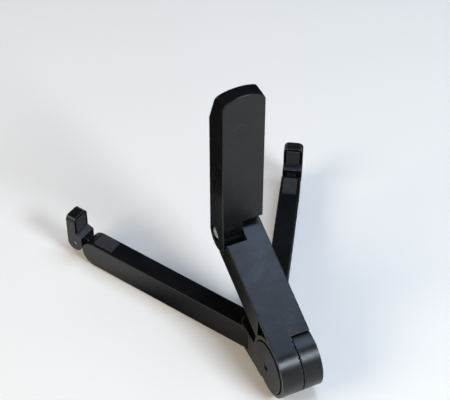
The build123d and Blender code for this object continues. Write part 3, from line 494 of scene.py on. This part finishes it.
@dataclass(frozen=True)
class PressedFibre:
    """Brown friction fibre with pale and dark flecks."""

    name: str
    colour: tuple[float, float, float] = (0.075, 0.052, 0.036)
    pale: tuple[float, float, float] = (0.17, 0.13, 0.09)
    dark: tuple[float, float, float] = (0.02, 0.018, 0.016)

    def make(self) -> bpy.types.Material:
        """Build the material.

        Returns:
            The material.
        """
        bench = Bench(self.name)
        strands = bench.noise(1.0, 3.0, 0.6, 0.5, bench.placed((0.2, 0.5, 0.3), (900.0, 3200.0, 900.0)))
        fleck = bench.ramp(bench.cells(2400.0), 0.1, 0.2, 1.0, 0.0)
        colour = bench.tinted(bench.ramp(strands, 0.35, 0.7), (*self.colour, 1.0), (*self.pale, 1.0))
        colour = bench.tinted(bench.sum("MULTIPLY", fleck, 0.4), colour, (*self.dark, 1.0))
        rough = bench.ramp(strands, 0.3, 0.7, 0.72, 0.88)
        return bench.finish(colour, rough, bench.bump(strands, 0.03 * MM, 0.7), IOR=1.5)


@dataclass
class FinishRack:
    """Every finish of the stand, made once."""

    shell: bpy.types.Material = field(init=False)
    arm: bpy.types.Material = field(init=False)
    head: bpy.types.Material = field(init=False)
    leg: bpy.types.Material = field(init=False)
    cover: bpy.types.Material = field(init=False)
    cap: bpy.types.Material = field(init=False)
    rubber: bpy.types.Material = field(init=False)
    steel: bpy.types.Material = field(init=False)
    zinc: bpy.types.Material = field(init=False)
    brass: bpy.types.Material = field(init=False)
    fibre: bpy.types.Material = field(init=False)

    def __post_init__(self) -> None:
        """Make the materials."""
        # the base and arm carry the hub's teeth, whose walls get the painted shade
        self.shell = MouldedPlastic("base_plastic", roughness=0.30, tooth_shade_strength=0.95).make()
        self.arm = MouldedPlastic("arm_plastic", roughness=0.30, lay=Lay.ALONG, edge_rub_and_highlight=1.0, tooth_shade_strength=0.95).make()
        self.head = MouldedPlastic("head_plastic", roughness=0.33, lay=Lay.ACROSS).make()
        self.leg = MouldedPlastic("leg_plastic", roughness=0.33, lay=Lay.LOOSE).make()
        self.cover = MouldedPlastic("cover_plastic", roughness=0.5, grain=1700.0, grain_depth=0.04 * MM).make()
        self.cap = MouldedPlastic("cap_plastic", roughness=0.42, grain=3200.0, edge_rub_and_highlight=0.4).make()
        self.rubber = SolidRubber("pad_rubber").make()
        self.steel = PlatedMetal("screw_steel").make()
        self.zinc = PlatedMetal("bolt_zinc", (0.80, 0.81, 0.82), (0.5, 0.49, 0.47), 0.46).make()
        self.brass = PlatedMetal("bush_brass", (0.60, 0.42, 0.17), (0.30, 0.19, 0.08), 0.3).make()
        self.fibre = PressedFibre("friction_fibre").make()


# ---------------------------------------------------------------- pieces


@dataclass
class SubAssembly:
    """A group of pieces that move as one body."""

    rack: FinishRack
    body: str
    flat_angle: float = field(default=math.radians(3), kw_only=True)
    rim_angle: float = field(default=math.radians(25), kw_only=True)
    sharp_angle: float = field(default=math.radians(40), kw_only=True)
    long_edge: float = field(default=1.6 * MM, kw_only=True)

    def dress(self, material: bpy.types.Material, *nodes: str) -> None:
        """Give CAD nodes a finish.

        Args:
            material: the finish.
            nodes: names of CAD nodes.
        """
        for name in nodes:
            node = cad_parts[name]
            node.data.materials.clear()
            node.data.materials.append(material)
            LOG.info("%s: %s in %s", self.body, name, material.name)

    def softened_rubber(self, node: str, name: str, edge: float, crown: float, up: Vector) -> bpy.types.Object:
        """A rubber block with rolled edges and a face that rises to its middle, in place of a CAD node.

        Args:
            node: the CAD node that it stands for.
            name: the new piece's name.
            edge: radius of its rolled edges, in metres.
            crown: how far its face falls from its middle to its edges, in metres.
            up: direction that its face looks in.

        Returns:
            The piece.
        """
        shape = bmesh.new()
        shape.from_mesh(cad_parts[node].data)
        bmesh.ops.remove_doubles(shape, verts=shape.verts, dist=0.01 * MM)
        bmesh.ops.dissolve_limit(shape, angle_limit=self.flat_angle, verts=shape.verts, edges=shape.edges)
        rim = [e for e in shape.edges if e.is_manifold and e.calc_face_angle(0.0) > self.rim_angle]
        bmesh.ops.bevel(shape, geom=rim, offset=edge, offset_type="OFFSET", segments=3, profile=0.5,
                        affect="EDGES", clamp_overlap=True, material=-1)
        bmesh.ops.triangulate(shape, faces=[f for f in shape.faces if len(f.verts) > 4])
        long_edges = [e for e in shape.edges if e.calc_length() > self.long_edge]
        bmesh.ops.subdivide_edges(shape, edges=long_edges, cuts=4, use_grid_fill=True)
        bmesh.ops.triangulate(shape, faces=[f for f in shape.faces if len(f.verts) > 4])
        self.crown_face(shape, crown, up)
        shape.normal_update()
        mesh = bpy.data.meshes.new(name)
        shape.to_mesh(mesh)
        shape.free()
        for face in mesh.polygons:
            face.use_smooth = True
        mesh.set_sharp_from_angle(angle=self.sharp_angle)
        piece = bpy.data.objects.new(name, mesh)
        bpy.context.collection.objects.link(piece)
        mesh.materials.append(self.rack.rubber)
        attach(piece, self.body)
        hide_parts(node)
        LOG.info("%s: %s, %d faces, stands for %s", self.body, name, len(mesh.polygons), node)
        return piece

    def crown_face(self, shape: bmesh.types.BMesh, crown: float, up: Vector) -> None:
        """Let a block's flat face fall away towards its edges.

        Args:
            shape: the block.
            crown: how far the edges fall, in metres.
            up: direction that the face looks in.
        """
        points = [v.co.copy() for v in shape.verts]
        top = max(p.dot(up) for p in points)
        face = [p for p in points if p.dot(up) > top - 0.1 * MM]
        middle = sum(face, Vector()) / len(face)
        reach = max((p - middle).length for p in face)
        for vert in shape.verts:
            if vert.co.dot(up) > top - 0.3 * MM:
                away = min(1.0, (vert.co - middle).length / reach)
                vert.co -= up * (crown * away ** 2)


@dataclass
class Base(SubAssembly):
    """The hub's right barrel with the block and the clevis that hold the legs."""

    body: str = "base"
    foot_edge: float = 0.25 * MM
    foot_crown: float = 0.0

    def build(self) -> None:
        """Dress the base and make its foot."""
        self.dress(self.rack.shell, "base_frame")
        self.dress(self.rack.cover, "base_plate")
        self.dress(self.rack.cap, "right_hub_cap")
        steel = ("base_screws", "left_leg_pin", "right_leg_pin", "hub_bolt", "hub_nut", "hub_washer",
                 "hub_spring_washers")
        self.dress(self.rack.steel, *steel)
        self.softened_rubber("base_foot", "base_rubber_foot", self.foot_edge, self.foot_crown, Vector((0, 0, -1)))


@dataclass
class Arm(SubAssembly):
    """The arm between the hub and the elbow."""

    body: str = "arm"

    def build(self) -> None:
        """Dress the arm."""
        self.dress(self.rack.arm, "arm_shell")
        self.dress(self.rack.cover, "arm_cover")
        self.dress(self.rack.cap, "left_hub_cap")
        self.dress(self.rack.brass, "hub_bush")
        self.dress(self.rack.steel, "arm_cover_screws", "elbow_nut", "elbow_washer")
        self.dress(self.rack.zinc, "elbow_bolt")
        self.dress(self.rack.fibre, "elbow_friction_disc")


@dataclass
class Head(SubAssembly):
    """The upright head that the tablet leans on."""

    body: str = "head"
    pad_edge: float = 0.3 * MM
    pad_crown: float = 0.15 * MM
    lean: float = math.radians(21.5)

    def build(self) -> None:
        """Dress the head and make its pad."""
        self.dress(self.rack.head, "head_shell")
        self.dress(self.rack.cover, "head_cover")
        self.dress(self.rack.steel, "head_cover_screws")
        self.dress(self.rack.brass, "elbow_bush")
        face = Vector((0, -math.cos(self.lean), math.sin(self.lean)))
        self.softened_rubber("head_pad", "head_rubber_pad", self.pad_edge, self.pad_crown, face)


@dataclass
class Leg(SubAssembly):
    """One of the two spread legs."""

    side: Side = Side.LEFT
    pad_edge: float = 0.4 * MM
    pad_crown: float = 0.3 * MM
    foot_edge: float = 0.25 * MM

    def build(self) -> None:
        """Dress the leg and make its rest pad and foot."""
        name = self.side.value
        self.dress(self.rack.leg, name + "_leg_shell")
        self.dress(self.rack.cover, name + "_leg_cover")
        self.dress(self.rack.steel, name + "_leg_cover_screws")
        self.softened_rubber(name + "_leg_rest_pad", name + "_rubber_rest", self.pad_edge, self.pad_crown,
                             Vector((0, 0, 1)))
        self.softened_rubber(name + "_leg_foot", name + "_rubber_foot", self.foot_edge, 0.0, Vector((0, 0, -1)))


@dataclass
class Hook(SubAssembly):
    """The fold-down hook at a leg's end, which keeps the tablet from sliding."""

    side: Side = Side.LEFT
    face_edge: float = 0.3 * MM

    def build(self) -> None:
        """Dress the hook and make its rubber face."""
        name = self.side.value
        self.dress(self.rack.leg, name + "_hook")
        self.dress(self.rack.steel, name + "_hook_pin")
        self.softened_rubber(name + "_hook_face", name + "_hook_rubber", self.face_edge, 0.0, Vector((0, 1, 0)))


# ---------------------------------------------------------------- studio


@dataclass(frozen=True)
class SoftLamp:
    """A soft rectangular lamp: its place from the target, its sides, its power and its light."""

    name: str
    reach: tuple[float, float, float]
    size: tuple[float, float]
    watts: float
    colour: tuple[float, float, float]


@dataclass
class Studio:
    """A pale floor, soft lamps, a plain room and the camera."""

    lamps: tuple[SoftLamp, ...] = (
        SoftLamp("ceiling_panel", (-0.34, -0.09, 1.16), (0.80, 0.62), 7.2, (0.58, 0.74, 1.0)),
        SoftLamp("window", (-0.36, 0.86, 0.74), (0.40, 0.26), 9.5, (0.76, 0.87, 1.0)),
        SoftLamp("key", (1.10, -0.08, 0.75), (0.80, 0.60), 8.0, (1.0, 0.88, 0.73)),
    )
    target: tuple[float, float, float] = (0.0, -0.02, 0.06)
    floor_colour: tuple[float, float, float] = (0.90, 0.85, 0.78)
    floor_patch: tuple[float, float, float] = (0.88, 0.83, 0.76)
    floor_seen: tuple[float, float, float] = (1.0, 0.945, 0.865)
    floor_radius: float = 6.0
    camera_place: tuple[float, float, float] = (0.23665, 0.45159, 0.63379)
    camera_forward: tuple[float, float, float] = (-0.2957, -0.6457, -0.7040)
    lens: float = 107.74
    flag_size: tuple[float, float] = (0.256, 0.174)
    flag_foot: tuple[float, float, float] = (0.004, -0.1095, 0.0225)
    flag_lean: float = math.radians(21.5)
    # the grey floor card is a painted shadow of a leaning tablet, seen only in reflections
    shadow_card_size: tuple[float, float] = (0.44, 0.34)
    shadow_card_middle: tuple[float, float, float] = (0.03, -0.14, 0.0004)
    shadow_card_rear_fade: tuple[float, float] = (-0.075, 0.03)
    shadow_card_side_fade: tuple[float, float] = (0.045, 0.075)
    card_black: tuple[float, float, float] = (0.006, 0.006, 0.006)
    painted_shadow_grey: tuple[float, float, float] = (0.05, 0.05, 0.048)
    horizon: tuple[float, float] = (0.12, 0.88)
    ceiling: tuple[float, float] = (0.45, 0.07)

    def build(self) -> None:
        """Make everything round the stand."""
        self.floor()
        self.room()
        for plan in self.lamps:
            self.lamp(plan)
        self.lean_flag()
        self.painted_table_shadow()
        self.camera()

    def floor(self) -> None:
        """A wide round floor under the feet."""
        shape = bmesh.new()
        bmesh.ops.create_circle(shape, cap_ends=True, segments=96, radius=self.floor_radius)
        mesh = bpy.data.meshes.new("floor")
        shape.to_mesh(mesh)
        shape.free()
        ground = bpy.data.objects.new("floor", mesh)
        bpy.context.collection.objects.link(ground)
        bench = Bench("floor_paper")
        fibre = bench.noise(900.0, 3.0)
        patchy = bench.ramp(bench.noise(3.0, 2.0), 0.3, 0.7, 0.0, 0.3)
        tone = bench.tinted(patchy, (*self.floor_colour, 1.0), (*self.floor_patch, 1.0))
        path = bench.node("ShaderNodeLightPath").outputs
        seen = bench.sum("MAXIMUM", path["Is Camera Ray"], path["Is Glossy Ray"])
        seen = bench.sum("MAXIMUM", seen, path["Is Transmission Ray"])
        tone = bench.tinted(seen, tone, (*self.floor_seen, 1.0))
        mesh.materials.append(bench.finish(tone, 0.9, bench.bump(fibre, 0.03 * MM, 0.2), Specular_IOR_Level=0.2))

    def lean_flag(self) -> None:
        """A dark card that leans where a tablet would, for the leg tops and the head to mirror."""
        shape = bmesh.new()
        bmesh.ops.create_grid(shape, x_segments=1, y_segments=1, size=0.5)
        bmesh.ops.scale(shape, verts=shape.verts, vec=(*self.flag_size, 1.0))
        bmesh.ops.translate(shape, verts=shape.verts, vec=(0.0, self.flag_size[1] / 2, 0.0))
        tilt = Matrix.Rotation(math.radians(90) - self.flag_lean, 3, "X")
        bmesh.ops.rotate(shape, verts=shape.verts, cent=(0, 0, 0), matrix=tilt)
        bmesh.ops.translate(shape, verts=shape.verts, vec=self.flag_foot)
        bench = Bench("flag_card")
        self.card("lean_flag", shape, bench.finish((*self.card_black, 1.0), 0.9, Specular_IOR_Level=0.1))

    def painted_table_shadow(self) -> None:
        """A grey card on the floor for the stand's sides to mirror, a painted shadow where a leaning tablet would
        shade the floor, clear at its rear and left edges.
        """
        shape = bmesh.new()
        bmesh.ops.create_grid(shape, x_segments=1, y_segments=1, size=0.5)
        bmesh.ops.scale(shape, verts=shape.verts, vec=(*self.shadow_card_size, 1.0))
        bmesh.ops.translate(shape, verts=shape.verts, vec=self.shadow_card_middle)
        bench = Bench("painted_shadow_card")
        split = bench.node("ShaderNodeSeparateXYZ", Vector=bench.place)
        rear = bench.ramp(split.outputs["Y"], *self.shadow_card_rear_fade, 1.0, 0.0)
        cover = bench.sum("MULTIPLY", rear, bench.ramp(split.outputs["X"], *self.shadow_card_side_fade, 1.0, 0.0))
        # Painted shadow: a grey card that only the stand's reflections show.
        self.card("painted_table_shadow", shape, bench.finish((*self.painted_shadow_grey, 1.0), 0.9, Specular_IOR_Level=0.1))
        bench.feed(bench.shader.inputs["Alpha"], cover)

    def card(self, name: str, shape: bmesh.types.BMesh, material: bpy.types.Material) -> None:
        """Finish a card that only mirrors see: no camera, shade or scattered light.

        Args:
            name: the card's name.
            shape: its shape, which is freed.
            material: its finish.
        """
        mesh = bpy.data.meshes.new(name)
        shape.to_mesh(mesh)
        shape.free()
        mesh.materials.append(material)
        card = bpy.data.objects.new(name, mesh)
        bpy.context.collection.objects.link(card)
        card.visible_camera = False
        card.visible_shadow = False
        card.visible_diffuse = False

    def room(self) -> None:
        """Pale walls at the horizon under a dim ceiling, each a height on the sky's ball and a strength."""
        world = bpy.data.worlds.new("room")
        bpy.context.scene.world = world
        world.use_nodes = True
        tree = world.node_tree
        coords = tree.nodes.new("ShaderNodeTexCoord")
        split = tree.nodes.new("ShaderNodeSeparateXYZ")
        tree.links.new(coords.outputs["Generated"], split.inputs[0])
        height = tree.nodes.new("ShaderNodeMapRange")
        height.interpolation_type = "SMOOTHSTEP"
        tree.links.new(split.outputs["Z"], height.inputs[0])
        levels = (self.horizon[0], self.ceiling[0], self.horizon[1], self.ceiling[1])
        for socket, number in zip(height.inputs[1:5], levels):
            socket.default_value = number
        background = tree.nodes["Background"]
        background.inputs["Color"].default_value = (1.0, 1.0, 1.0, 1.0)
        tree.links.new(height.outputs["Result"], background.inputs["Strength"])

    def lamp(self, plan: SoftLamp) -> None:
        """Hang a soft lamp that looks at the target.

        Args:
            plan: the lamp.
        """
        data = bpy.data.lights.new(plan.name, "AREA")
        data.shape = "RECTANGLE"
        data.size, data.size_y = plan.size
        data.energy = plan.watts
        data.color = plan.colour
        lamp = bpy.data.objects.new(plan.name, data)
        target = Vector(self.target)
        lamp.location = target + Vector(plan.reach)
        lamp.rotation_euler = (target - lamp.location).to_track_quat("-Z", "Y").to_euler()
        bpy.context.collection.objects.link(lamp)

    def camera(self) -> None:
        """The camera, behind the stand and above it."""
        data = bpy.data.cameras.new("camera")
        data.sensor_width = 36.0
        data.lens = self.lens
        data.clip_start, data.clip_end = 0.05, 50.0
        eye = bpy.data.objects.new("camera", data)
        forward = Vector(self.camera_forward).normalized()
        right = forward.cross(Vector((0, 0, 1))).normalized()
        up = right.cross(forward)
        turn = Matrix((right, up, -forward)).transposed()
        eye.matrix_world = Matrix.Translation(self.camera_place) @ turn.to_4x4()
        bpy.context.collection.objects.link(eye)
        bpy.context.scene.camera = eye


# ---------------------------------------------------------------- making it


def main() -> None:
    """Build the stand's looks and the studio round it."""
    logging.basicConfig(level=logging.INFO, format="%(message)s")
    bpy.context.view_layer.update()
    bpy.context.scene.view_settings.view_transform = "Standard"
    rack = FinishRack()
    groups = [Base(rack), Arm(rack), Head(rack)]
    groups += [Leg(rack, side.value + "_leg", side) for side in Side]
    groups += [Hook(rack, side.value + "_hook", side) for side in Side]
    for group in groups:
        group.build()
    Studio().build()


if __name__ == "__main__":
    main()
